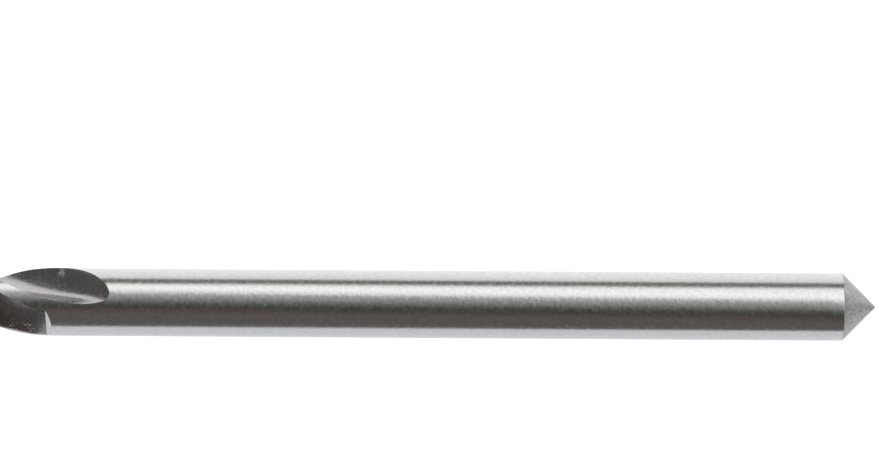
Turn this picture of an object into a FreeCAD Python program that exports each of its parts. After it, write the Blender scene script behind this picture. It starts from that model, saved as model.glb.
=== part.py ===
"""Jobber twist drill, 2.4 mm, ground all over, with a centred (coned) shank end.

The drill lies on its side: X runs along its axis from the cutting point (-X) to the
shank (+X), Z is up, and Z = 0 is the surface that it rests on. Angles round the axis
are turned from straight up (+Z) towards +Y, which is the way the drill turns when it
cuts. Each flute is one grinding wheel's profile, carried along the helix and lifted
out of the blank over the run-out.
"""
import FreeCAD, Part
import math
import os

# Overall form, millimetres and degrees.
body_diameter = 2.4
overall_length = 57.0
flute_length = 30.2
helix_angle = 25.5

# The body is ground thinner by this much, in diameter, from the point to the shank.
back_taper = 0.016

# Web between the flutes, thicker towards the shank.
web_at_point = 0.40
web_at_run_out = 0.87

# Grinding wheel profile that cuts a flute.
face_lean = 31.0
face_hook_radius = 0.74
heel_lean = 44.0
heel_radius = 1.16

# Where the wheel lifts out: how far that takes, how the lift grows along it, the direction
# in which the wheel leaves, and how far it swings out of the plain helix meanwhile.
run_out_length = 2.8
run_out_power = 2.3
run_out_direction = 15.4
run_out_swing = 18.0

# Lands: the margin keeps the full diameter, and the rest is ground nearly flat.
margin_width = 0.41
relief_step = 0.015
relief_radius = 12.0
relief_span = 54.0
relief_end_gap = 1.85
relief_run_out = 0.385

# Ground cutting point.
point_angle = 118.0
flank_cone_angle = 45.0
flank_apex_distance = 2.3
flank_skew = 0.74

# Coned shank end.
shank_cone_angle = 90.0
shank_tip_radius = 0.06
shank_rim_radius = 0.05

# How finely the flute and the relief are carried along the axis.
section_pitch = 1.3
run_out_pitch = 0.45

radius = body_diameter / 2
point_x = -overall_length / 2
shank_tip_x = overall_length / 2
flute_end_x = point_x + flute_length
relief_end_x = flute_end_x - relief_end_gap
lead = math.pi * body_diameter / math.tan(math.radians(helix_angle))
twist_rate = 360.0 / lead
margin_turn = math.degrees(margin_width / math.cos(math.radians(helix_angle)) / radius)
shank_radius = (body_diameter - back_taper) / 2
X_AXIS = FreeCAD.Vector(1, 0, 0)


def body_radius(x):
    """Radius of the margins at station x, along the back taper."""
    along = (x - point_x) / flute_length
    return radius + (shank_radius - radius) * along


def on_section(x, turn, across, out):
    """Point of a cross-section: `out` along the direction `turn`, `across` square to it."""
    angle = math.radians(turn)
    y = out * math.sin(angle) + across * math.cos(angle)
    z = out * math.cos(angle) - across * math.sin(angle)
    return FreeCAD.Vector(x, y, z)


def run_out_share(x):
    """How much of the run-out lies behind station x: 0 before it, 1 at the flute's end."""
    return max(0.0, x - (flute_end_x - run_out_length)) / run_out_length


def flute_turn(x):
    """Direction of the wheel at station x: the helix, and the swing over the run-out."""
    to_come = flute_end_x - x
    return run_out_direction + twist_rate * to_come - run_out_swing * (1 - run_out_share(x))


def flute_bottom(x):
    """Distance from the axis to the flute floor: the web, then the wheel's rise."""
    along = (x - point_x) / flute_length
    half_web = (web_at_point + (web_at_run_out - web_at_point) * along) / 2
    return half_web + (radius - half_web) * run_out_share(x) ** run_out_power


def wheel_profile():
    """Points (across, out) of the wheel, from outside its face side to outside its heel side.

    Each side is a straight wall that leans outwards and an arc that leads from it to the
    bottom of the flute.
    """
    reach = 1.6 * radius
    points = []
    for side, arc_radius, wall_lean in ((-1, face_hook_radius, face_lean), (1, heel_radius, heel_lean)):
        lean = math.radians(wall_lean)
        arc_across = arc_radius * math.sin(lean)
        arc_out = arc_radius * (1 - math.cos(lean))
        for share in (1.0, 0.7, 0.4):
            points.append((side * (arc_across + share * reach * math.cos(lean)),
                           arc_out + share * reach * math.sin(lean)))
        for share in (1.0, 0.66, 0.33):
            points.append((side * arc_radius * math.sin(share * lean),
                           arc_radius * (1 - math.cos(share * lean))))
    points.append((0.0, 0.0))
    return sorted(points)


def flute_section(x, half_turn):
    """Closed wire of the wheel's cut at station x."""
    turn = flute_turn(x) + half_turn
    bottom = flute_bottom(x)
    points = [on_section(x, turn, across, bottom + out) for across, out in wheel_profile()]
    cut = Part.BSplineCurve()
    cut.interpolate(points)
    return Part.Wire([cut.toShape(), Part.makeLine(points[-1], points[0])])


def face_edge_turn(x):
    """Direction of the flute's leading edge, where the wheel's face side meets the body."""
    lean = math.radians(face_lean)
    hook_across = face_hook_radius * math.sin(lean)
    hook_out = flute_bottom(x) + face_hook_radius * (1 - math.cos(lean))
    # Distance of the straight face wall from the axis, and of its foot along the wall.
    wall_offset = hook_out * math.cos(lean) - hook_across * math.sin(lean)
    along = math.sqrt(body_radius(x) ** 2 - wall_offset ** 2)
    across = along * math.cos(lean) + wall_offset * -math.sin(lean)
    out = along * math.sin(lean) + wall_offset * math.cos(lean)
    return flute_turn(x) - math.degrees(math.atan2(across, out))


def relief_section(x, half_turn):
    """Closed wire of the relief cut behind the margin at station x."""
    left_in_run_out = max(0.0, x - (relief_end_x - relief_run_out)) / relief_run_out
    half_span = math.radians(relief_span / 2)
    lift = 2 * radius * (1 - math.cos(half_span)) * left_in_run_out
    turn = face_edge_turn(x) - margin_turn - relief_span / 2 + half_turn
    step_across = (body_radius(x) - relief_step) * math.sin(half_span)
    step_out = (body_radius(x) - relief_step) * math.cos(half_span)
    crown = relief_radius - math.sqrt(relief_radius ** 2 - step_across ** 2)
    centre_out = step_out + crown - relief_radius

    def ground(across):
        return centre_out + math.sqrt(relief_radius ** 2 - across ** 2)

    clear_across = -1.5 * step_across
    outside = 1.5 * radius
    wall_across = outside * math.tan(half_span)
    corners = [(wall_across, outside), (step_across, step_out), (clear_across, ground(clear_across)),
               (clear_across, outside)]
    top, step, clear, back = [on_section(x, turn, across, out + lift) for across, out in corners]
    middle = on_section(x, turn, 0, ground(0) + lift)
    return Part.Wire([Part.makeLine(top, step),
                      Part.Arc(step, middle, clear).toShape(),
                      Part.makeLine(clear, back),
                      Part.makeLine(back, top)])


def stations(start, run_out_start, end):
    """Places along the axis for the sections, closer together in the run-out."""
    plain = max(2, math.ceil((run_out_start - start) / section_pitch))
    lifted = max(3, math.ceil((end - run_out_start) / run_out_pitch))
    places = [start + (run_out_start - start) * i / plain for i in range(plain)]
    places += [run_out_start + (end - run_out_start) * i / lifted for i in range(lifted + 1)]
    return places


def flute_cut(half_turn):
    """Solid that the wheel takes out along one flute."""
    start = point_x - section_pitch
    end = flute_end_x + 0.15 * run_out_length
    places = stations(start, flute_end_x - run_out_length, end)
    return Part.makeLoft([flute_section(x, half_turn) for x in places], True, False)


def relief_cut(half_turn):
    """Solid that is ground away behind one margin."""
    start = point_x - section_pitch
    places = stations(start, relief_end_x - relief_run_out, relief_end_x)
    return Part.makeLoft([relief_section(x, half_turn) for x in places], True, False)


def blank():
    """Round bar, tapered back from the point, with the coned shank end.

    The cone's tip is slightly blunt and its rim just broken.
    """
    half_cone = math.radians(shank_cone_angle / 2)
    blunt = shank_tip_radius * (1 / math.sin(half_cone) - 1)
    apex_x = shank_tip_x + blunt
    rim_x = apex_x - shank_radius / math.tan(half_cone)
    ball_x = shank_tip_x - shank_tip_radius
    touch_x = ball_x + shank_tip_radius * math.sin(half_cone)
    touch_r = shank_tip_radius * math.cos(half_cone)
    mid_x = ball_x + shank_tip_radius * math.cos((math.pi / 2 - half_cone) / 2)
    mid_r = shank_tip_radius * math.sin((math.pi / 2 - half_cone) / 2)
    end_centre = FreeCAD.Vector(point_x, 0, 0)
    end_edge = FreeCAD.Vector(point_x, 0, radius)
    taper_end = FreeCAD.Vector(flute_end_x, 0, shank_radius)
    rim = FreeCAD.Vector(rim_x, 0, shank_radius)
    touch = FreeCAD.Vector(touch_x, 0, touch_r)
    tip = FreeCAD.Vector(shank_tip_x, 0, 0)
    outline = Part.Wire([Part.makeLine(end_centre, end_edge),
                         Part.makeLine(end_edge, taper_end),
                         Part.makeLine(taper_end, rim),
                         Part.makeLine(rim, touch),
                         Part.Arc(touch, FreeCAD.Vector(mid_x, 0, mid_r), tip).toShape(),
                         Part.makeLine(tip, end_centre)])
    bar = Part.Face(outline).revolve(FreeCAD.Vector(0, 0, 0), X_AXIS, 360)
    bar = Part.Solid(bar.Shells[0])
    rim_edges = [edge for edge in bar.Edges
                 if edge.BoundBox.XLength < 1e-6 and abs(edge.BoundBox.Center.x - rim_x) < 1e-6]
    return bar.makeFillet(shank_rim_radius, rim_edges)


def flank_cone(half_turn):
    """Inside of one ground flank: a cone whose top runs along the lip and falls behind it."""
    corner_x = point_x + radius / math.tan(math.radians(point_angle / 2))
    lip_ahead = flute_bottom(point_x)
    lip_turn = face_edge_turn(corner_x) - math.degrees(math.asin(lip_ahead / radius)) + half_turn
    fall = math.radians(point_angle / 2)
    tilt = math.radians(point_angle / 2 - flank_cone_angle)
    out = FreeCAD.Vector(0, math.sin(math.radians(lip_turn)), math.cos(math.radians(lip_turn)))
    ahead_turn = math.radians(lip_turn + 90)
    ahead = FreeCAD.Vector(0, math.sin(ahead_turn), math.cos(ahead_turn))
    apex = (out * (-flank_apex_distance * math.sin(fall))
            + ahead * (lip_ahead + flank_skew)
            - X_AXIS * (flank_apex_distance * math.cos(fall)))
    direction = out * math.sin(tilt) + X_AXIS * math.cos(tilt)
    height = flank_apex_distance + 4 * body_diameter
    spread = height * math.tan(math.radians(flank_cone_angle))
    return Part.makeCone(0, spread, height, apex, direction)


def point_waste():
    """What the two flanks take off the end of the bar, with their chisel edge at the point."""
    both = flank_cone(0).common(flank_cone(180))
    crest_x = both.optimalBoundingBox().XMin
    both.translate(X_AXIS * (point_x - crest_x))
    overrun = 0.5 * body_diameter
    end_of_bar = Part.makeCylinder(1.5 * radius, overrun + 1.5 * body_diameter,
                                   FreeCAD.Vector(point_x - overrun, 0, 0), X_AXIS)
    return end_of_bar.cut(both)


def twist_drill():
    """The whole drill, ground from one bar."""
    drill = blank()
    for half_turn in (0, 180):
        drill = drill.cut(flute_cut(half_turn))
    for half_turn in (0, 180):
        drill = drill.cut(relief_cut(half_turn))
    drill = drill.cut(point_waste())
    drill = Part.Solid(drill.Solids[0].Shells[0])
    drill.translate(FreeCAD.Vector(0, 0, radius))
    return drill


os.makedirs("parts", exist_ok=True)
drill = twist_drill()
box = drill.optimalBoundingBox()
print("valid", drill.isValid(), "volume", round(drill.Volume, 3), "mm3")
print("box", [round(v, 4) for v in (box.XMin, box.YMin, box.ZMin, box.XMax, box.YMax, box.ZMax)])
drill.exportStep("parts/twist_drill.step")
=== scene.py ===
# %% [markdown]
# # A twist drill, 2.4 mm, lying on a white table
#
# The object is a small jobber drill, ground from one bar of high-speed steel. Two helical
# flutes run up from the cutting point and end in a shallow ramp. Beside each flute a narrow
# margin keeps the full diameter, and the rest of the land is ground a little lower. The far
# end of the shank is a plain 90 degree cone.
#
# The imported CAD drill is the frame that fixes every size. Its mesh has few facets, so this
# script draws the same surfaces again with many more points, and gives them a finish. The
# shapes are worked out in millimetres from the axis, and turned to metres at the end.

import bmesh
import bpy
import numpy as np
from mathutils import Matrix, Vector, geometry


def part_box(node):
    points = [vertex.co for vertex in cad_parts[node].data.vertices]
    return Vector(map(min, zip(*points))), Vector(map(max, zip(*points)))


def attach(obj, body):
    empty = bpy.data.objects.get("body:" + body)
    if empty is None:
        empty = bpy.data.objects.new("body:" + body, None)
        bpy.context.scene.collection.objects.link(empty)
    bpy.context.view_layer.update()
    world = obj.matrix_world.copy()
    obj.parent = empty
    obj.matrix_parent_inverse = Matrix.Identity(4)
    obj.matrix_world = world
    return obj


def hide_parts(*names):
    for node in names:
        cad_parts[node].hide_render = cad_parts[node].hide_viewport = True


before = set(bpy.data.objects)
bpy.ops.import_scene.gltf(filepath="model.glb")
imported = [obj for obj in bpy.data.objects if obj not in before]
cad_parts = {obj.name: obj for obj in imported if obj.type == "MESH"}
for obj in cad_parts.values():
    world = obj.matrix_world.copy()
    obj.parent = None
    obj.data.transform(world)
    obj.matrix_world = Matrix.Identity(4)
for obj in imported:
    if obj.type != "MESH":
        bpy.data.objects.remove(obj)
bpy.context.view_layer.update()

low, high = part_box("twist_drill")
print("drill box in mm", [round(1000 * v, 3) for v in (*low, *high)])

# %% [markdown]
# ## Sizes
#
# A drill is described by a few sizes that a toolmaker would read off a drawing: its
# diameter and length, how far the flutes run, how steeply they wind, how thick the web
# between them is, and the outline of the wheel that grinds them. They are the CAD part's
# own sizes, in millimetres and degrees, and every surface below is worked out from them.
# Only the relief differs: here its arc bends more and spans 3 degrees more. That takes off
# up to 0.03 mm beside the heel, so the grind reaches nearly to it, as the photograph shows.

# %% Sizes of the drill
body_diameter = 2.4
overall_length = 57.0
flute_length = 30.2
helix_angle = 25.5
back_taper = 0.016
web_at_point = 0.40
web_at_run_out = 0.87

face_lean = np.radians(31.0)
face_hook_radius = 0.74
heel_lean = np.radians(44.0)
heel_radius = 1.16
run_out_length = 2.8
run_out_power = 2.3
run_out_direction = 15.4
run_out_swing = 18.0

margin_width = 0.41
relief_step = 0.015
relief_radius = 8.0
relief_half_span = 28.5
relief_end_gap = 1.85
relief_run_out = 0.385

flank_cone_angle = np.radians(45.0)
half_point_angle = np.radians(59.0)
flank_apex_distance = 2.3
flank_skew = 0.74

shank_tip_radius = 0.06
shank_rim_radius = 0.05
half_shank_cone = np.radians(45.0)

radius = body_diameter / 2
shank_radius = radius - back_taper / 2
point_x = -overall_length / 2
shank_tip_x = overall_length / 2
flute_end_x = point_x + flute_length
relief_end_x = flute_end_x - relief_end_gap
lead = np.pi * body_diameter / np.tan(np.radians(helix_angle))
twist_rate = 360.0 / lead
margin_turn = np.degrees(margin_width / np.cos(np.radians(helix_angle)) / radius)
print("lead", round(lead, 2), "mm, the margin takes", round(margin_turn, 1), "degrees")

# %% [markdown]
# ## The flute
#
# A flute is the path of a grinding wheel. The wheel's outline has a straight face wall with
# a small hook arc down to the bottom, and a wide arc up to a straight heel wall. The wheel
# winds round the bar as it travels. Near the end of the flute it lifts out and swings a
# little, so the flute becomes shallower and closes in a rounded edge.
#
# A boolean cut would leave uneven triangles. Here the outline is one curve with an
# arc-length parameter, and for each station along the drill two searches find where it
# leaves the bar. The grid then ends exactly on the cutting edge and on the heel.

# %% The bar and the wheel
halvings = 44
beyond_bar = 2.5 * radius


def body_radius(x):
    """Radius at x: full at the point, then a straight taper to the shank's radius."""
    along = np.clip((x - point_x) / flute_length, 0.0, 1.0)
    return radius + (shank_radius - radius) * along


def run_out_share(x):
    """How much of the run-out lies behind x: 0 before it, 1 at the end of the flute."""
    return np.clip((x - flute_end_x + run_out_length) / run_out_length, 0.0, 1.0)


def flute_turn(x):
    """Direction of the wheel at x in degrees: twist rate times the distance to the end,
    less the swing that the run-out has yet to make."""
    to_come = flute_end_x - x
    return run_out_direction + twist_rate * to_come - run_out_swing * (1 - run_out_share(x))


def flute_bottom(x):
    """Distance of the floor from the axis: half the web, plus a rise with a power of
    the share of the run-out that has passed."""
    along = (x - point_x) / flute_length
    half_web = (web_at_point + (web_at_run_out - web_at_point) * along) / 2
    return half_web + (radius - half_web) * run_out_share(x) ** run_out_power


def wheel(s):
    """Outline of the wheel at arc length s from the bottom, as (across, out): an arc
    through the wall's lean, then the straight wall. Negative s is the face side."""
    arc_radius = np.where(s < 0, face_hook_radius, heel_radius)
    lean = np.where(s < 0, face_lean, heel_lean)
    bend = np.minimum(np.abs(s) / arc_radius, lean)
    wall = np.abs(s) - bend * arc_radius
    across = arc_radius * np.sin(bend) + wall * np.cos(lean)
    out = arc_radius * (1 - np.cos(bend)) + wall * np.sin(lean)
    return np.sign(s) * across, out


def face_reach(x):
    """Angle from the wheel's direction back to where its straight face wall meets the bar."""
    hook_across = face_hook_radius * np.sin(face_lean)
    hook_out = flute_bottom(x) + face_hook_radius * (1 - np.cos(face_lean))
    offset = hook_out * np.cos(face_lean) - hook_across * np.sin(face_lean)
    along = np.sqrt(body_radius(x) ** 2 - offset ** 2)
    across = along * np.cos(face_lean) - offset * np.sin(face_lean)
    out = along * np.sin(face_lean) + offset * np.cos(face_lean)
    return np.degrees(np.arctan2(across, out))


def relieved_radius(x, lean):
    """Distance of the relieved land from the axis, `lean` degrees from the relief's middle:
    the far crossing of a ray with the relief arc, which lifts off at the end of the relief."""
    share = np.clip((x - relief_end_x + relief_run_out) / relief_run_out, 0.0, 1.0)
    half_span = np.radians(relief_half_span)
    lift = 2 * radius * (1 - np.cos(half_span)) * share
    step_radius = body_radius(x) - relief_step
    step_across = step_radius * np.sin(half_span)
    centre = (step_radius * np.cos(half_span) + lift
              - np.sqrt(relief_radius ** 2 - step_across ** 2))
    turn = np.radians(lean)
    reach = relief_radius ** 2 - (centre * np.sin(turn)) ** 2
    ground = centre * np.cos(turn) + np.sqrt(reach)
    return np.where(x > relief_end_x, 2 * radius, ground)


def land_radius(x, turn):
    """Radius of the land, `turn` degrees past the wheel: the lower of body and relief."""
    middle = 180.0 - face_reach(np.minimum(x, relief_end_x)) - margin_turn - relief_half_span
    return np.minimum(body_radius(x), relieved_radius(x, turn - middle))


def leaves_bar(x, side):
    """Arc length at which the wheel's outline leaves the bar on one side, by halving."""
    inside = np.zeros_like(x)
    outside = np.full_like(x, beyond_bar)
    for _ in range(halvings):
        middle = (inside + outside) / 2
        across, out = wheel(side * middle)
        out = out + flute_bottom(x)
        limit = body_radius(x)
        if side > 0:
            limit = land_radius(x, np.degrees(np.arctan2(across, out)))
        within = np.hypot(across, out) < limit
        inside = np.where(within, middle, inside)
        outside = np.where(within, outside, middle)
    return side * inside


stations = np.linspace(-20.0, flute_end_x - 0.05, 3)
widths = leaves_bar(stations, 1) - leaves_bar(stations, -1)
print("flute width along its outline", np.round(widths, 2))

# %% [markdown]
# ## One turn round the drill
#
# Going round the drill, one half is a flute, then the relieved land up to a small step,
# then the margin up to the next cutting edge. The other half is the same, turned by 180
# degrees. Each zone has its own share of columns, so the edges between zones are lines of
# the grid, and each stays crisp for the whole length.

# %% Columns of the grid
flute_columns = 44
relief_columns = 34
margin_columns = 12
half_columns = flute_columns + relief_columns + margin_columns
flute_zone, relief_zone, margin_zone = range(3)


def column_shares():
    """Zone of every column, its place from 0 to 1 within the zone, and the turn of its half."""
    flute = np.linspace(0, 1, flute_columns)
    relief = np.linspace(0, 1, relief_columns + 1)[1:]
    margin = np.linspace(0, 1, margin_columns + 1)[:-1]
    zone = np.repeat([flute_zone, relief_zone, margin_zone],
                     [flute_columns, relief_columns, margin_columns])
    share = np.concatenate([flute, relief, margin])
    return np.tile(zone, 2), np.tile(share, 2), np.repeat([0.0, 180.0], half_columns)


zone, share, half_turn = column_shares()
columns = len(zone)


def section(x):
    """Points (y, z) of every column at its own x, for x of shape (rows, columns).

    Flute: the wheel's outline between the two places where it leaves the bar. Land: the
    land radius at turns spread evenly between the heel, the step and the next edge.
    """
    x = np.minimum(x, flute_close_x)
    face = leaves_bar(x, -1)
    heel = leaves_bar(x, 1)
    across, out = wheel(face + (heel - face) * share)
    out = out + flute_bottom(x)

    heel_across, heel_out = wheel(heel)
    heel_turn = np.degrees(np.arctan2(heel_across, heel_out + flute_bottom(x)))
    face_across, face_out = wheel(face)
    edge_turn = 180.0 + np.degrees(np.arctan2(face_across, face_out + flute_bottom(x)))
    step_turn = edge_turn - margin_turn
    relief_turn = heel_turn + (step_turn - heel_turn) * share
    margin_at = step_turn + margin_turn * share
    land_turn = np.where(zone == relief_zone, relief_turn, margin_at)
    level = np.where(zone == relief_zone, land_radius(x, relief_turn), body_radius(x))

    reach = np.where(zone == flute_zone, np.hypot(across, out), level)
    local = np.where(zone == flute_zone, np.degrees(np.arctan2(across, out)), land_turn)
    turn = np.radians(flute_turn(x) + half_turn + local)
    return reach * np.sin(turn), reach * np.cos(turn)


def flute_closes():
    """Place where the rising floor reaches the surface of the bar, by halving."""
    before, after = flute_end_x - 1.0, flute_end_x
    for _ in range(halvings):
        middle = (before + after) / 2
        if flute_bottom(middle) < body_radius(middle):
            before = middle
        else:
            after = middle
    return before


flute_close_x = flute_closes()
print("columns", columns, "the flute closes at", round(flute_close_x, 4))

# %% [markdown]
# ## The cutting point
#
# The photograph stops short of the point, so it gets the usual grind: 118 degrees over the
# two lips. A grinding machine swings each flank on a cone whose axis stands beside the
# drill, so the surface falls away behind the lip. The two cones meet in the chisel edge
# across the web. The height of a flank above any place (y, z) is the root of a quadratic,
# so the start of every column, and the flanks themselves, come from that one formula.

# %% Height of the flanks
def flank_height(y, z, side_turn):
    """Lowest x inside one flank's cone at (y, z): the larger root of the cone's equation
    (w . d) squared = cos(angle) squared times |w| squared, with w measured from the apex."""
    corner_x = point_x + radius / np.tan(half_point_angle)
    lip = np.radians(flute_turn(corner_x) - face_reach(corner_x) + side_turn)
    lip -= np.arcsin(flute_bottom(point_x) / radius)
    tilt = half_point_angle - flank_cone_angle
    out_y, out_z = np.sin(lip), np.cos(lip)
    ahead_y, ahead_z = np.cos(lip), -np.sin(lip)
    ahead = flute_bottom(point_x) + flank_skew
    back = flank_apex_distance * np.sin(half_point_angle)
    from_y = y - ahead * ahead_y + back * out_y
    from_z = z - ahead * ahead_z + back * out_z
    direction_x = np.cos(tilt)
    lean_part = np.sin(tilt) * (from_y * out_y + from_z * out_z)
    closing = np.cos(flank_cone_angle) ** 2
    leading = direction_x ** 2 - closing
    last = lean_part ** 2 - closing * (from_y ** 2 + from_z ** 2)
    root = np.sqrt((direction_x * lean_part) ** 2 - leading * last)
    return (root - direction_x * lean_part) / leading


crest = flank_height(0.0, 0.0, 0.0)


def flanks(y, z):
    """Surface of the point: the higher of the two flanks, with its crest at the tip."""
    both = np.maximum(flank_height(y, z, 0.0), flank_height(y, z, 180.0))
    return point_x + both - crest


def column_starts():
    """Where each column leaves the flanks: x = flanks(section(x)), found by stepping part
    of the way each time, so that the steps settle."""
    steps, step_share = 80, 0.6
    x = np.full((1, columns), point_x + 0.5)
    for _ in range(steps):
        x = (1 - step_share) * x + step_share * flanks(*section(x))
    return x


starts = column_starts()
print("the flutes and lands start from", round(starts.min(), 3), "to", round(starts.max(), 3))

# %% [markdown]
# ## Rows along the drill
#
# Rows are close together where the shape changes fast: behind the point, where the relief
# runs out within less than half a millimetre, and at the end of the flute. The flute's
# width there grows with the square root of the distance, so the rows follow a square law.

# %% Rows of the grid
point_rows, fluted_rows, rising_rows, fading_rows, closing_rows = 26, 136, 16, 30, 42
point_crowding = 1.3
join_x = point_x + 2.2
rise_x = flute_end_x - run_out_length
fade_x = relief_end_x - 1.2 * relief_run_out
faded_x = relief_end_x + 0.05

point_share = np.linspace(0, 1, point_rows)[:, None] ** point_crowding
point_part = starts + (join_x - starts) * point_share
fluted = np.linspace(join_x, rise_x, fluted_rows)[1:]
rising = np.linspace(rise_x, fade_x, rising_rows)[1:]
fading = np.linspace(fade_x, faded_x, fading_rows)[1:]
closing_share = np.linspace(1, 0, closing_rows)[1:] ** 2
closing = flute_close_x - (flute_close_x - faded_x) * closing_share
plain_rows = np.concatenate([fluted, rising, fading, closing])
fluted_x = np.vstack([point_part, np.tile(plain_rows[:, None], (1, columns))])
fluted_y, fluted_z = section(fluted_x)
print("rows with flutes", len(fluted_x))

# %% [markdown]
# ## Shank and cone
#
# The rest is a turned outline: the taper ends, the shank runs straight, a small arc breaks
# its rim, and the 90 degree cone ends in a tiny ball. A Screw modifier could turn it, but
# then it would have to be joined to the fluted part. So the columns go straight on from
# the end of the flute, each at its own turn, and the grid stays closed.

# %% Outline of the shank end
straight_rows = 36
arc_rows = 8
cone_rows = 14
first_round_x = flute_close_x + 0.02


def shank_outline():
    """Pairs (x, r) of the cylinder, the rim arc through half the cone's angle, the straight
    cone and the tip arc, and the x at which the rim arc starts."""
    blunt = shank_tip_radius * (1 / np.sin(half_shank_cone) - 1)
    rim_x = shank_tip_x + blunt - shank_radius / np.tan(half_shank_cone)
    arc_x = rim_x - shank_rim_radius * np.tan(half_shank_cone / 2)
    straight = np.linspace(first_round_x, arc_x, straight_rows)
    bend = np.linspace(0, half_shank_cone, arc_rows)[1:]
    rim = (arc_x + shank_rim_radius * np.sin(bend),
           shank_radius - shank_rim_radius * (1 - np.cos(bend)))
    ball_x = shank_tip_x - shank_tip_radius
    swing = np.linspace(half_shank_cone, 0, arc_rows)[:-1]
    tip = (ball_x + shank_tip_radius * np.cos(swing), shank_tip_radius * np.sin(swing))
    run = np.linspace(0, 1, cone_rows)[1:-1]
    cone = (rim[0][-1] + (tip[0][0] - rim[0][-1]) * run, rim[1][-1] + (tip[1][0] - rim[1][-1]) * run)
    x = np.concatenate([straight, rim[0], cone[0], tip[0]])
    r = np.concatenate([np.full(straight_rows, shank_radius), rim[1], cone[1], tip[1]])
    return x, r, arc_x


shank_x, shank_r, cone_start_x = shank_outline()
last_turn = np.arctan2(fluted_y[-1], fluted_z[-1])
shank_y = shank_r[:, None] * np.sin(last_turn)
shank_z = shank_r[:, None] * np.cos(last_turn)
print("shank rows", len(shank_x), "the cone starts at", round(cone_start_x, 3))

# %% [markdown]
# ## The flanks as a surface
#
# The ring of column starts encloses the ground point. A fan of triangles from its middle
# would be long and thin, and would shade unevenly. A Delaunay fill of the ring, with a fine
# net of places inside and the chisel edge as a fixed line, gives even triangles. Their
# heights come from the same formula as before.

# %% Fill the point
net_step = 0.04
net_clearance = 0.55 * net_step
chisel_clearance = 0.012
chisel_search = 0.4
chisel_circles = 40
chisel_turns = 721


def inside_ring(points, ring):
    """True where a point lies inside the ring: an odd number of sides crosses its ray."""
    y, z = points[:, 0:1], points[:, 1:2]
    y0, z0 = ring[:, 0], ring[:, 1]
    y1, z1 = np.roll(y0, -1), np.roll(z0, -1)
    crosses = (z0 > z) != (z1 > z)
    rise = np.where(z1 == z0, 1.0, z1 - z0)
    return (np.sum(crosses & (y < (y1 - y0) * (z - z0) / rise + y0), axis=1) % 2) == 1


def chisel_line(ring):
    """Places where both flanks are equally high, out to the ring on both sides: on each
    circle round the axis, the turn at which the difference of the heights changes sign."""
    reach = np.linspace(chisel_clearance, chisel_search, chisel_circles)[:, None]
    around = np.radians(np.linspace(0, 180, chisel_turns))[None, :]
    y, z = reach * np.sin(around), reach * np.cos(around)
    gap = flank_height(y, z, 0.0) - flank_height(y, z, 180.0)
    at = np.argmax(np.signbit(gap[:, 1:]) != np.signbit(gap[:, :-1]), axis=1)
    rows = np.arange(len(reach))
    share_at = gap[rows, at] / (gap[rows, at] - gap[rows, at + 1])
    turn = around[0, at] + share_at * (around[0, 1] - around[0, 0])
    half = np.column_stack([reach[:, 0] * np.sin(turn), reach[:, 0] * np.cos(turn)])
    away = np.min(np.linalg.norm(half[:, None] - ring[None], axis=2), axis=1)
    half = half[inside_ring(half, ring) & (away > chisel_clearance)]
    return np.vstack([-half[::-1], [[0.0, 0.0]], half])


def fill_point(ring):
    """Triangles over the ring: returns the inner places and triples of indices, with the
    ring's own points first and the inner places after them. The net is one of equal
    triangles, with every second row moved by half a step."""
    line = chisel_line(ring)
    across = np.arange(-radius, radius + net_step, net_step)
    rows_out = np.arange(-radius, radius + net_step, net_step * np.sqrt(0.75))
    y = across[None, :] + np.where(np.arange(len(rows_out)) % 2, net_step / 2, 0.0)[:, None]
    z = np.repeat(rows_out[:, None], len(across), axis=1)
    net = np.column_stack([y.ravel(), z.ravel()])
    fixed = np.vstack([ring, line])
    nearest = np.min(np.linalg.norm(net[:, None] - fixed[None], axis=2), axis=1)
    net = net[inside_ring(net, ring) & (nearest > net_clearance)]
    places = np.vstack([ring, line, net])
    count = len(ring)
    ends = [int(np.argmin(np.linalg.norm(ring - end, axis=1))) for end in (line[0], line[-1])]
    chain = [ends[0], *range(count, count + len(line)), ends[1]]
    edges = [(i, (i + 1) % count) for i in range(count)] + list(zip(chain[:-1], chain[1:]))
    filled = geometry.delaunay_2d_cdt([Vector(p) for p in places], edges, [], 1, 1e-7)
    source = np.array([origin[0] for origin in filled[3]])
    return places[count:], source[np.array(filled[2])]


ring = np.column_stack([fluted_y[0], fluted_z[0]])
inner, cap = fill_point(ring)
inner_x = flanks(inner[:, 0], inner[:, 1])
print("flank triangles", len(cap), "chisel edge", round(2 * np.linalg.norm(inner[0]), 3), "mm")

# %% [markdown]
# ## One closed mesh
#
# The grid's quads, the flanks and the fan on the tip share their points. Where columns run
# together, at the end of the flute and of the step, doubles are merged. Edges that are
# sharp on the real tool are marked by their angle, and everything else is shaded smooth.

# %% Build the mesh
merge_distance_m = 2e-8
sharp_angle = np.radians(18.0)


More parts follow.
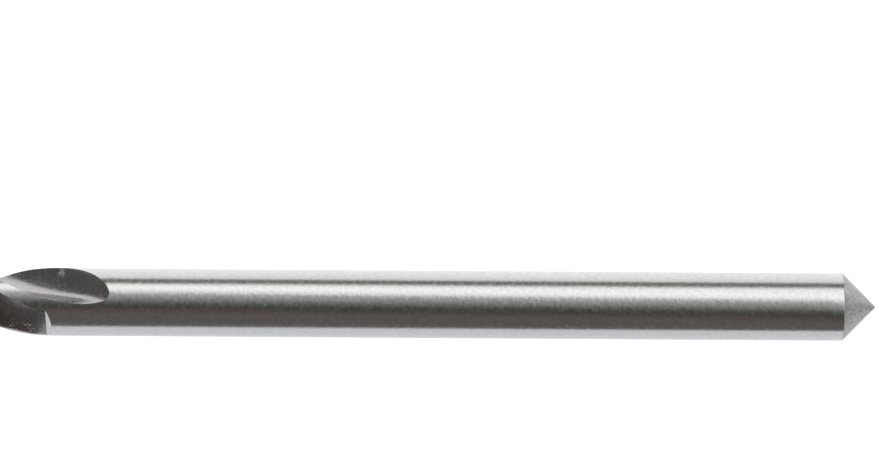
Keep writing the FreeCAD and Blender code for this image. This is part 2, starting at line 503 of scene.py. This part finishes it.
def drill_mesh():
    """Stack the rows, join neighbours by quads, and close the ends by the flanks and a fan."""
    x = np.vstack([fluted_x, np.tile(shank_x[:, None], (1, columns))])
    y = np.vstack([fluted_y, shank_y])
    z = np.vstack([fluted_z, shank_z])
    rows = len(x)
    grid = np.stack([x, y, z], axis=-1).reshape(-1, 3)
    flank_points = np.column_stack([inner_x, inner])
    tip = np.array([[shank_tip_x, 0.0, 0.0]])
    points = np.vstack([grid, flank_points, tip]) + [0.0, 0.0, radius]

    row, column = np.meshgrid(np.arange(rows - 1), np.arange(columns), indexing="ij")
    ahead = (column + 1) % columns
    quads = np.stack([row * columns + column, (row + 1) * columns + column,
                      (row + 1) * columns + ahead, row * columns + ahead], axis=-1).reshape(-1, 4)
    cap_faces = np.where(cap < columns, cap, cap - columns + len(grid))
    around = np.arange(columns)
    fan = np.column_stack([(rows - 1) * columns + around,
                           np.full(columns, len(points) - 1),
                           (rows - 1) * columns + (around + 1) % columns])
    faces = quads.tolist() + cap_faces.tolist() + fan.tolist()

    mesh = bpy.data.meshes.new("drill_bit")
    mesh.from_pydata((points * 0.001).tolist(), [], faces)
    return mesh


def vertex_places(mesh):
    """Every vertex in millimetres, measured from the axis."""
    place = np.empty(len(mesh.vertices) * 3)
    mesh.vertices.foreach_get("co", place)
    return place.reshape(-1, 3) * 1000 - [0.0, 0.0, radius]


def close_up(mesh):
    """Merge doubles, turn every face outwards and mark edges past the sharp angle."""
    work = bmesh.new()
    work.from_mesh(mesh)
    bmesh.ops.remove_doubles(work, verts=work.verts, dist=merge_distance_m)
    bmesh.ops.recalc_face_normals(work, faces=work.faces)
    open_edges = sum(not edge.is_manifold for edge in work.edges)
    print("open edges", open_edges, "volume", round(work.calc_volume(signed=True) * 1e9, 2), "mm3")
    work.to_mesh(mesh)
    work.free()
    mesh.polygons.foreach_set("use_smooth", np.ones(len(mesh.polygons), bool))
    mesh.set_sharp_from_angle(angle=sharp_angle)


mesh = drill_mesh()
close_up(mesh)
drill = bpy.data.objects.new("drill_bit", mesh)
bpy.context.scene.collection.objects.link(drill)
mesh.calc_loop_triangles()
places = vertex_places(mesh)
print("triangles", len(mesh.loop_triangles))
print("from", np.round(places.min(axis=0), 3), "to", np.round(places.max(axis=0), 3), "mm")

# %% [markdown]
# ## Zones and a map of the surface
#
# Five finishes meet on this drill: the ground bar, the flutes, the relieved lands, the
# point, and the cone at the end. Each face gets its finish from where its middle is, with a
# few micrometres of room, because the middle of a flat face lies just inside the surface.
# A map of the surface, along the axis and round it, lets grinding marks follow the shape.

# %% Mark the zones
ground_bar, flute_wall, shank_cone, ground_point, relieved_land = range(5)
below_land = 0.002
near_flank = 0.004
past_rim = 0.01
flank_normal_x = -0.3


def face_middles(mesh):
    """Middle of every face in millimetres, measured from the axis."""
    middle = np.empty(len(mesh.polygons) * 3)
    mesh.polygons.foreach_get("center", middle)
    return middle.reshape(-1, 3) * 1000 - [0.0, 0.0, radius]


def finish_of_faces(mesh):
    """Number of each face's finish. The relieved land lies between heel and step, up to its
    bright end ramp. A face below the land is in a flute, and one on a flank is the point."""
    middle = face_middles(mesh)
    x, y, z = middle.T
    normal = np.empty(len(mesh.polygons) * 3)
    mesh.polygons.foreach_get("normal", normal)
    normal = normal.reshape(-1, 3)
    reach = np.hypot(y, z)
    past_wheel = (np.degrees(np.arctan2(y, z)) - flute_turn(x)) % 180.0
    step_at = 180.0 - face_reach(np.minimum(x, relief_end_x)) - margin_turn
    before_end = x < flute_close_x
    relieved = (x < relief_end_x - relief_run_out) & (past_wheel < step_at)
    in_flute = before_end & (reach < land_radius(x, past_wheel) - below_land)
    on_flank = (np.abs(x - flanks(y, z)) < near_flank) & (normal[:, 0] < flank_normal_x)
    finish = np.where(relieved, relieved_land, ground_bar)
    finish = np.where(in_flute, flute_wall, finish)
    finish = np.where(on_flank, ground_point, finish)
    return np.where(x > cone_start_x + past_rim, shank_cone, finish)


finish = finish_of_faces(mesh)
mesh.polygons.foreach_set("material_index", finish.astype(np.int32))
print("faces per finish", np.bincount(finish))


# %% Lay the map
def lay_map(mesh):
    """UV in centimetres: u along the axis, v the arc round it, with no jump inside a face."""
    corner = np.empty(len(mesh.loops), np.int32)
    mesh.loops.foreach_get("vertex_index", corner)
    place = vertex_places(mesh)
    turn = np.arctan2(place[:, 1], place[:, 2])[corner]
    size = np.empty(len(mesh.polygons), np.int32)
    mesh.polygons.foreach_get("loop_total", size)
    owner = np.repeat(np.arange(len(size)), size)
    middle = face_middles(mesh)
    face_turn = np.arctan2(middle[:, 1], middle[:, 2])[owner]
    turn += 2 * np.pi * np.round((face_turn - turn) / (2 * np.pi))
    along = place[corner, 0] - point_x
    layer = mesh.uv_layers.new(name="surface")
    layer.data.foreach_set("uv", (np.column_stack([along, radius * turn]) * 0.1).ravel())


lay_map(mesh)
print("the map is", overall_length / 10, "by", round(2 * np.pi * radius / 10, 2), "cm")

# %% [markdown]
# ## Finishes
#
# High-speed steel keeps a neutral, slightly warm grey. Its real grinding marks are some
# micrometres apart. Here they are drawn as coarse as 0.05 mm, because finer ones would not
# show, and the specks of the noise are about 0.1 mm for the same reason. A picture could
# show both, but noise at a size in millimetres needs no file and has no seams.
#
# Each finish is one metal shader with its own roughness, a variation in colour, and a
# small bump. The photograph shows a pale chip at the top of the flute, two faint ones, and
# some specks on the land. They are rough and scatter light, so they show pale even where
# the polished steel around them is dark.

# %% Helpers for materials
def linear(hex_colour):
    """sRGB hex to linear: divide by 12.92 below 0.04045, else ((c + 0.055) / 1.055) ** 2.4."""
    parts = np.array([int(hex_colour[i:i + 2], 16) for i in (1, 3, 5)]) / 255
    bright = ((parts + 0.055) / 1.055) ** 2.4
    return (*np.where(parts <= 0.04045, parts / 12.92, bright).tolist(), 1.0)


def node(tree, kind, links=None, inputs=None, **settings):
    """Add a node, set its properties and input values, and link inputs from other sockets."""
    made = tree.nodes.new(kind)
    for name, value in settings.items():
        setattr(made, name, value)
    for name, value in (inputs or {}).items():
        made.inputs[name].default_value = value
    for name, socket in (links or {}).items():
        tree.links.new(socket, made.inputs[name])
    return made


def lay_stops(ramp, stops):
    """Give a colour ramp its stops, each as (place from 0 to 1, red, green, blue)."""
    elements = ramp.color_ramp.elements
    while len(elements) < len(stops):
        elements.new(0.5)
    for element, (share_at, *colour) in zip(elements, stops):
        element.position = share_at
        element.color = (*colour, 1.0)


def new_material(name):
    """A material with an empty tree and its output."""
    material = bpy.data.materials.new(name)
    material.use_nodes = True
    material.node_tree.nodes.clear()
    return material, material.node_tree, material.node_tree.nodes.new("ShaderNodeOutputMaterial")


print("a middle grey #808080 is", round(linear("#808080")[0], 3), "in linear light")

# %% Chips
flute_chips = [
    (-0.05, 1.09, 1.24, 0.12, 2.9),
    (-0.08, 0.98, 1.24, 0.12, 2.7),
    (-1.04, 0.58, 1.13, 0.07, 2.4),
    (-0.02, 0.38, 1.54, 0.07, 2.4),
]
relief_chips = [
    (-1.74, -0.86, 1.97, 0.36, 2.0),
    (-1.18, -0.80, 1.90, 0.36, 1.9),
    (-1.12, -0.96, 1.78, 0.22, 2.1),
]
chip_speck_mm = 0.06
chip_noise = 4.0
chip_edge = 0.15
bare_colour = "#c8c6c3"
bare_roughness = 0.6
bare_metallic = 0.15


def chipped(tree, place, chips):
    """Mask of the chips: bare where distance / radius + chip_noise * noise is below a
    chip's level. A chip is (x, y, z, radius, level) in millimetres from the frame's origin,
    where the photograph shows it. Near level 2.7 it is one ragged spot, near 2 a few specks."""
    mask = node(tree, "ShaderNodeValue").outputs[0]
    mask.default_value = 0.0
    uneven = node(tree, "ShaderNodeTexNoise", {"Vector": place},
                  {"Scale": 1000 / chip_speck_mm, "Detail": 1.0}).outputs["Fac"]
    for x, y, z, size, level in chips:
        distance = node(tree, "ShaderNodeVectorMath", {0: place}, {1: (x / 1000, y / 1000, z / 1000)},
                        operation="DISTANCE")
        share_out = node(tree, "ShaderNodeMath", {0: distance.outputs["Value"]}, {1: 1000 / size},
                         operation="MULTIPLY")
        total = node(tree, "ShaderNodeMath", {0: uneven, 2: share_out.outputs[0]}, {1: chip_noise},
                     operation="MULTIPLY_ADD")
        near = node(tree, "ShaderNodeMapRange", {"Value": total.outputs[0]},
                    {"From Min": level, "From Max": level - chip_edge})
        both = node(tree, "ShaderNodeMath", {0: mask, 1: near.outputs["Result"]}, operation="MAXIMUM")
        mask = both.outputs[0]
    return mask


def lay_bare(tree, shader, bare):
    """Where the mask `bare` is 1, turn the metal into a rough grey that scatters light."""
    steel_tone = shader.inputs["Base Color"].links[0].from_socket
    steel_blur = shader.inputs["Roughness"].links[0].from_socket
    colour = node(tree, "ShaderNodeMix", {"Factor": bare, "A": steel_tone},
                  {"B": linear(bare_colour)}, data_type="RGBA")
    rough = node(tree, "ShaderNodeMix", {"Factor": bare, "A": steel_blur}, {"B": bare_roughness})
    metal = node(tree, "ShaderNodeMapRange", {"Value": bare}, {"To Min": 1.0, "To Max": bare_metallic})
    tree.links.new(colour.outputs["Result"], shader.inputs["Base Color"])
    tree.links.new(rough.outputs["Result"], shader.inputs["Roughness"])
    tree.links.new(metal.outputs["Result"], shader.inputs["Metallic"])


print("chips in the flute", len(flute_chips), "patches of chips on the land", len(relief_chips))

# %% Ground steel
noise_range = {"From Min": 0.3, "From Max": 0.7}
marks_per_cm = (200.0, 14.0, 1.0)
marks_share = 0.3
bump_height_m = 1e-5
worn_edge = 0.05


def steel(name, colours, roughness, spread, speck_mm, bump, worn_above=None, chips=()):
    """Metal: noise at the size of the specks moves the colour between two greys and the
    roughness by `spread`, and bends the surface together with a stretched noise on the map
    that stands for grinding marks. A finish may have chips, or else bare specks where the
    noise is above the level `worn_above`."""
    material, tree, output = new_material(name)
    place = node(tree, "ShaderNodeTexCoord")
    specks = node(tree, "ShaderNodeTexNoise", {"Vector": place.outputs["Object"]},
                  {"Scale": 1000 / speck_mm, "Detail": 2.0, "Roughness": 0.5})
    stretch = node(tree, "ShaderNodeMapping", {"Vector": place.outputs["UV"]}, {"Scale": marks_per_cm})
    marks = node(tree, "ShaderNodeTexNoise", {"Vector": stretch.outputs["Vector"]},
                 {"Scale": 1.0, "Detail": 2.0})
    contrast = node(tree, "ShaderNodeMapRange", {"Value": specks.outputs["Fac"]}, noise_range)
    tone = node(tree, "ShaderNodeMix", {"Factor": contrast.outputs["Result"]},
                {"A": linear(colours[0]), "B": linear(colours[1])}, data_type="RGBA")
    rough = node(tree, "ShaderNodeMapRange", {"Value": specks.outputs["Fac"]},
                 {**noise_range, "To Min": roughness - spread, "To Max": roughness + spread})
    both = node(tree, "ShaderNodeMath", {0: marks.outputs["Fac"], 2: specks.outputs["Fac"]},
                {1: marks_share}, operation="MULTIPLY_ADD")
    height = node(tree, "ShaderNodeBump", {"Height": both.outputs[0]},
                  {"Strength": bump, "Distance": bump_height_m})
    shader = node(tree, "ShaderNodeBsdfPrincipled",
                  {"Base Color": tone.outputs["Result"], "Roughness": rough.outputs["Result"],
                   "Normal": height.outputs["Normal"]}, {"Metallic": 1.0})
    if chips:
        lay_bare(tree, shader, chipped(tree, place.outputs["Object"], chips))
    elif worn_above:
        worn = node(tree, "ShaderNodeMapRange", {"Value": specks.outputs["Fac"]},
                    {"From Min": worn_above, "From Max": worn_above + worn_edge})
        lay_bare(tree, shader, worn.outputs["Result"])
    tree.links.new(shader.outputs["BSDF"], output.inputs["Surface"])
    return material


# Bright steel from a centreless grinder, with a few worn specks: a slight waviness makes
# its reflections uneven.
bar_steel = steel("centreless_ground_tool_steel", ("#c9c9c8", "#d6d6d5"), roughness=0.20,
                  spread=0.03, speck_mm=0.13, bump=0.26, worn_above=0.80)
# Ground and polished along the helix: darker than the bar, with chips that catch the light.
flute_steel = steel("flute_ground_tool_steel", ("#adaba9", "#bfbdba"), roughness=0.24,
                    spread=0.04, speck_mm=0.12, bump=0.30, chips=flute_chips)
# Cut off and ground coarsely, so the cone is dull and speckled.
cone_steel = steel("coarse_ground_tool_steel", ("#8c8b8a", "#bbb9b7"), roughness=0.34,
                   spread=0.06, speck_mm=0.12, bump=0.55)
# A fresh grind on the flanks: light and even.
point_steel = steel("point_ground_tool_steel", ("#c2c2c0", "#d2d2d0"), roughness=0.22,
                    spread=0.03, speck_mm=0.08, bump=0.25)
# The land keeps some of the brownish temper colour, with pale specks where it wore off.
relief_steel = steel("tempered_relief_tool_steel", ("#908d8b", "#a4a19f"), roughness=0.22,
                     spread=0.03, speck_mm=0.11, bump=0.24, chips=relief_chips)

# %% Dress the drill
for finish_steel in (bar_steel, flute_steel, cone_steel, point_steel, relief_steel):
    mesh.materials.append(finish_steel)
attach(drill, "root")
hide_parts("twist_drill")
print("finishes", [item.name for item in mesh.materials])

# %% [markdown]
# ## Table
#
# The drill lies on a white table that fills the view. The table is white to the camera and
# keeps the soft shadow under the drill. Its emission in the metal is painted light: pale,
# brightest about 3 mm beyond the drill's axis, with painted shade towards the near side.

# %% Table
table_half_m = 1.0
table_z = -1e-5
near_side_y = -0.004
far_side_y = 0.012
to_camera = (0.85, 0.85, 0.85, 1.0)
# painted light and shade: the table's levels as seen in the metal, dark near side, brightest beyond
# the axis
painted_light_stops = [(0.0, 0.48, 0.49, 0.53), (0.42, 0.82, 0.83, 0.84), (1.0, 0.67, 0.67, 0.68)]


def table_top():
    """A flat square just under the drill. To the camera its emission and the light on it
    add up to white. To rays from metal or glass its emission is painted light and shade,
    by three stops from the near side to the far side of the drill."""
    half = table_half_m
    flat = bpy.data.meshes.new("table")
    flat.from_pydata([(-half, -half, table_z), (half, -half, table_z),
                      (half, half, table_z), (-half, half, table_z)], [], [(0, 1, 2, 3)])
    table = bpy.data.objects.new("table", flat)
    bpy.context.scene.collection.objects.link(table)
    material, tree, output = new_material("white_table")
    path = node(tree, "ShaderNodeLightPath")
    seen = node(tree, "ShaderNodeMath", {0: path.outputs["Is Camera Ray"],
                                         1: path.outputs["Is Glossy Ray"]}, operation="ADD")
    seen = node(tree, "ShaderNodeMath", {0: seen.outputs[0],
                                         1: path.outputs["Is Transmission Ray"]}, operation="ADD")
    place = node(tree, "ShaderNodeTexCoord")
    parts = node(tree, "ShaderNodeSeparateXYZ", {0: place.outputs["Object"]})
    across = node(tree, "ShaderNodeMapRange", {"Value": parts.outputs["Y"]},
                  {"From Min": near_side_y, "From Max": far_side_y})
    # painted light and shade by the table's Y place, for rays from metal or glass
    painted_light_in_metal = node(tree, "ShaderNodeValToRGB", {"Fac": across.outputs["Result"]})
    lay_stops(painted_light_in_metal, painted_light_stops)
    colour = node(tree, "ShaderNodeMix", {"Factor": path.outputs["Is Camera Ray"],
                                          "A": painted_light_in_metal.outputs["Color"]},
                  {"B": to_camera}, data_type="RGBA")
    shader = node(tree, "ShaderNodeBsdfPrincipled",
                  {"Emission Color": colour.outputs["Result"], "Emission Strength": seen.outputs[0]},
                  {"Base Color": linear("#f2f2f2"), "Roughness": 0.8})
    tree.links.new(shader.outputs["BSDF"], output.inputs["Surface"])
    flat.materials.append(material)
    return table


table = table_top()
print("table", [round(side, 2) for side in table.dimensions], "m")

# %% [markdown]
# ## Studio light
#
# Polished steel shows its surroundings, so the light is laid out by where it is seen in
# the shank: a wide soft panel on the far side, a dim ceiling that darkens towards the near
# side, and the white table from below. Lamps could do it too, but one soft world that is
# set by direction is easier to fit, and leaves no hard spots in the metal.
#
# Two numbers say where a direction points. Its turn is the angle from straight up, with
# +90 degrees at the horizon beyond the drill and -90 at the near one. Its x part runs from
# -1, towards the point, to +1, towards the cone. The panel's turn moves with the x part.
# Near stops are a turn and a colour, far stops a turn and a level, and the other stops an x
# part and a level. The last two ranges are of turn, in radians, and of x part.

# %% Brightness of the studio by direction
turn_per_x = 1.7
near_stops = [
    (-90, 0.150, 0.140, 0.150), (-68, 0.130, 0.118, 0.118), (-48, 0.152, 0.131, 0.118),
    (-36, 0.130, 0.112, 0.100), (-25, 0.072, 0.060, 0.054), (-17, 0.052, 0.049, 0.042),
    (-10, 0.074, 0.079, 0.070), (-4, 0.126, 0.136, 0.126), (1, 0.195, 0.205, 0.195),
    (7, 0.30, 0.31, 0.30), (13, 0.38, 0.39, 0.38), (20, 0.40, 0.40, 0.40),
    (26, 0.50, 0.50, 0.50), (31, 0.98, 0.98, 0.98), (36, 1.40, 1.40, 1.40),
    (42, 1.56, 1.56, 1.56), (50, 1.44, 1.44, 1.44), (62, 1.32, 1.32, 1.32)]
far_stops = [(0, 1.0), (61, 1.0), (73, 0.05), (84, 0.05), (88, 0.32)]
side_stops = [(-0.38, 0.0), (-0.26, 1.0), (0.40, 1.0), (0.59, 0.0)]
beyond_stops = [(0.50, 0.0), (0.62, 1.0), (0.82, 1.0), (0.92, 0.0)]
dim_rest = (0.132, 0.129, 0.126, 1.0)
pale_rest = (0.60, 0.60, 0.60, 1.0)
low_near_turn = {"From Min": -0.3, "From Max": -0.8}
to_point_x = {"From Min": -0.30, "From Max": -0.45}
white = (1.0, 1.0, 1.0, 1.0)
print("stops of the panel", len(near_stops), "brightest", max(stop[1] for stop in near_stops))


# %% World
def studio():
    """The near stops colour the panel by its turn. The far stops end it above the table, and
    the side stops end it by the x part. What is left is dim, with two paler stretches for
    other views: at the beyond stops, and low on the near side towards the point."""
    world = bpy.data.worlds.new("studio")
    bpy.context.scene.world = world
    world.use_nodes = True
    tree = world.node_tree
    tree.nodes.clear()
    place = node(tree, "ShaderNodeTexCoord")
    parts = node(tree, "ShaderNodeSeparateXYZ", {0: place.outputs["Generated"]})
    turn = node(tree, "ShaderNodeMath", {0: parts.outputs["Y"], 1: parts.outputs["Z"]},
                operation="ARCTAN2")
    moved = node(tree, "ShaderNodeMath", {0: parts.outputs["X"], 2: turn.outputs[0]},
                 {1: turn_per_x}, operation="MULTIPLY_ADD")
    quarter = np.pi / 2

    across = node(tree, "ShaderNodeMapRange", {"Value": moved.outputs[0]},
                  {"From Min": -quarter, "From Max": quarter})
    near = node(tree, "ShaderNodeValToRGB", {"Fac": across.outputs["Result"]})
    lay_stops(near, [((degrees + 90) / 180, *colour) for degrees, *colour in near_stops])

    up = node(tree, "ShaderNodeMapRange", {"Value": turn.outputs[0]},
              {"From Min": 0.0, "From Max": quarter})
    far = node(tree, "ShaderNodeValToRGB", {"Fac": up.outputs["Result"]})
    lay_stops(far, [(degrees / 90, level, level, level) for degrees, level in far_stops])

    along = node(tree, "ShaderNodeMapRange", {"Value": parts.outputs["X"]},
                 {"From Min": -1.0, "From Max": 1.0})
    side = node(tree, "ShaderNodeValToRGB", {"Fac": along.outputs["Result"]})
    lay_stops(side, [((part + 1) / 2, level, level, level) for part, level in side_stops])
    panel = node(tree, "ShaderNodeMath", {0: far.outputs["Color"], 1: side.outputs["Color"]},
                 operation="MULTIPLY")

    beyond = node(tree, "ShaderNodeValToRGB", {"Fac": along.outputs["Result"]})
    lay_stops(beyond, [((part + 1) / 2, level, level, level) for part, level in beyond_stops])
    low_near = node(tree, "ShaderNodeMapRange", {"Value": turn.outputs[0]}, low_near_turn)
    to_point = node(tree, "ShaderNodeMapRange", {"Value": parts.outputs["X"]}, to_point_x)
    pale = node(tree, "ShaderNodeMath", {0: low_near.outputs["Result"], 1: to_point.outputs["Result"],
                                         2: beyond.outputs["Color"]}, operation="MULTIPLY_ADD")
    rest = node(tree, "ShaderNodeMix", {"Factor": pale.outputs[0]}, {"A": dim_rest, "B": pale_rest},
                data_type="RGBA")
    glow = node(tree, "ShaderNodeMix", {"Factor": panel.outputs[0], "A": rest.outputs["Result"],
                                        "B": near.outputs["Color"]}, data_type="RGBA")
    path = node(tree, "ShaderNodeLightPath")
    seen = node(tree, "ShaderNodeMix", {"Factor": path.outputs["Is Camera Ray"],
                                        "A": glow.outputs["Result"]}, {"B": white}, data_type="RGBA")
    light = node(tree, "ShaderNodeBackground", {"Color": seen.outputs["Result"]}, {"Strength": 1.0})
    out = tree.nodes.new("ShaderNodeOutputWorld")
    tree.links.new(light.outputs["Background"], out.inputs["Surface"])
    return world


print("world", studio().name)

# %% [markdown]
# ## Camera
#
# The photograph looks straight down on the drill with a long lens, and shows it from a
# little beyond the middle of the flutes to the tip of the cone. The shank is as thick at
# one end of the picture as at the other, so the camera is far away and level. The drill
# lies a little askew in the picture, by less than half a degree.

# %% Camera
picture_width_px = 878
focal_length_px = 4700
sensor_width_mm = 36.0
view_centre = (0.01317, 0.00266)
camera_height = 0.0012 + 0.165
picture_turn = np.radians(0.375)

lens = bpy.data.cameras.new("camera")
lens.sensor_width = sensor_width_mm
lens.lens = sensor_width_mm * focal_length_px / picture_width_px
camera = bpy.data.objects.new("camera", lens)
camera.location = (*view_centre, camera_height)
camera.rotation_euler = (0.0, 0.0, picture_turn)
bpy.context.scene.collection.objects.link(camera)
bpy.context.scene.camera = camera
bpy.context.scene.view_settings.view_transform = "Standard"
print("lens", round(lens.lens, 1), "mm, camera", camera_height, "m above the table")
